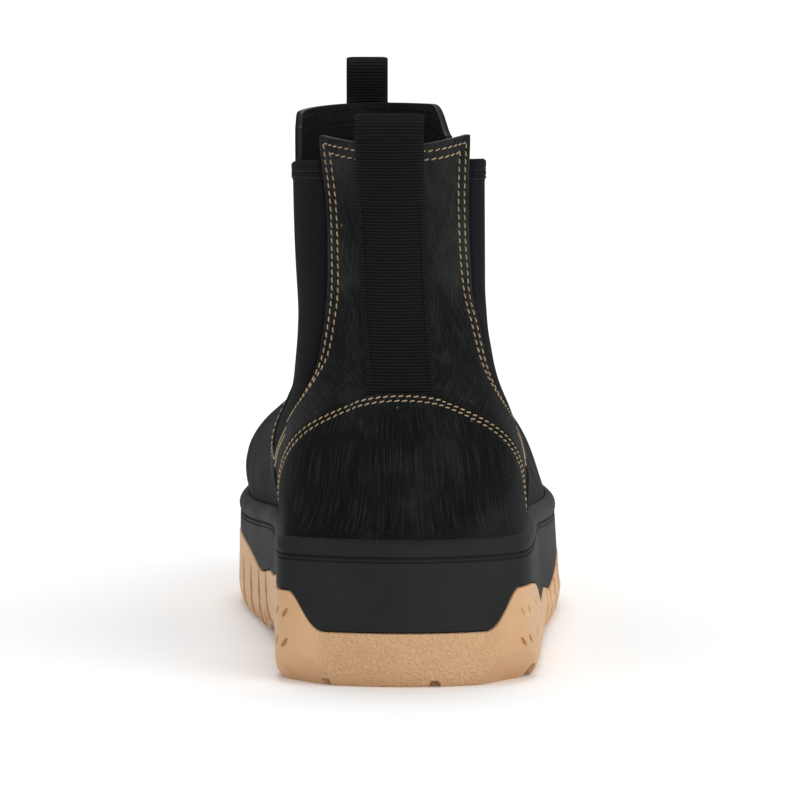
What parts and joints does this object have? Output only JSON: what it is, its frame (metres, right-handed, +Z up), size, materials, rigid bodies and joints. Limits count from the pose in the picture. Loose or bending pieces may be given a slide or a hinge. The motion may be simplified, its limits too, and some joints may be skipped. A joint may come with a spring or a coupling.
{
  "type": "track sole boot",
  "caption": "Right ankle boot in black leather with elastic side gores, front and rear pull loops and a chunky gum track sole.",
  "frame": {"origin": "on the floor under the middle of the sole, at the bottom centre of the bounding box", "axes": "+Z up, +Y along the sole towards the toe, +X towards the outer (lateral) side of the right foot"},
  "size_m": [0.1066, 0.288, 0.1855],
  "materials": {
    "gum_rubber": "translucent gum, matte",
    "black_rubber": "matte",
    "black_leather": "brushed nap, matte",
    "black_elastic": "ribbed elastic",
    "black_webbing": "ribbed woven tape",
    "grey_lining": "smooth lining"
  },
  "bodies": {
    "root": {"outsole": "gum_rubber", "midsole": "black_rubber", "insole": "grey_lining", "upper": "black_leather", "gore_medial": "black_elastic", "gore_lateral": "black_elastic", "heel_counter": "black_leather", "rear_pull_loop": "black_webbing", "front_pull_loop": "black_webbing"}
  },
  "joints": []
}
